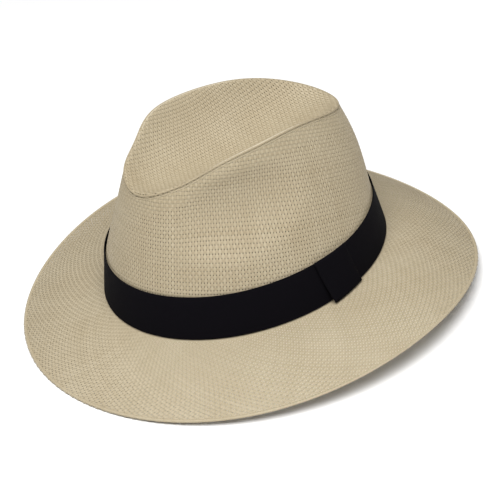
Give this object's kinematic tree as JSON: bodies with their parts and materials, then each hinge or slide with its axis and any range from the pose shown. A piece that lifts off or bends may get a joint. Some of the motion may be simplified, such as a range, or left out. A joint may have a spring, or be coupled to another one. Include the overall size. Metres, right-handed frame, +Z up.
{
  "type": "panama_hat",
  "caption": "Panama-style fedora sewn from natural woven paper straw, with a dished pinched crown, a drooping brim and a matte black ribbon band",
  "frame": {"origin": "middle of the hat's footprint, on the ground under the brim", "axes": "+X is the wearer's left, the side with the band loop; -Y is the front of the hat; +Z is up"},
  "size_m": [0.2978, 0.3204, 0.1388],
  "materials": {
    "straw_cloth": "matte",
    "black_ribbon": "matte",
    "sweat_ribbon": "matte",
    "lining_satin": "satin",
    "cotton_tape": "matte",
    "straw_thread": "satin",
    "black_thread": "satin",
    "edge_wire": "matte"
  },
  "bodies": {
    "root": {"crown_side": "straw_cloth", "crown_tip": "straw_cloth", "brim": "straw_cloth", "brim_edge_roll": "straw_cloth", "tip_seam_tape": "cotton_tape", "back_seam_tape": "cotton_tape", "sweatband": "sweat_ribbon", "tip_seam_stitches": "straw_thread", "back_seam_stitches": "straw_thread", "brim_seam_stitches": "straw_thread", "sweatband_stitches": "straw_thread", "hat_band": "black_ribbon", "band_loop": "black_ribbon", "band_tacks": "black_thread", "brim_wire": "edge_wire", "lining_side": "lining_satin", "lining_tip": "lining_satin", "lining_stitches": "black_thread"}
  },
  "joints": []
}
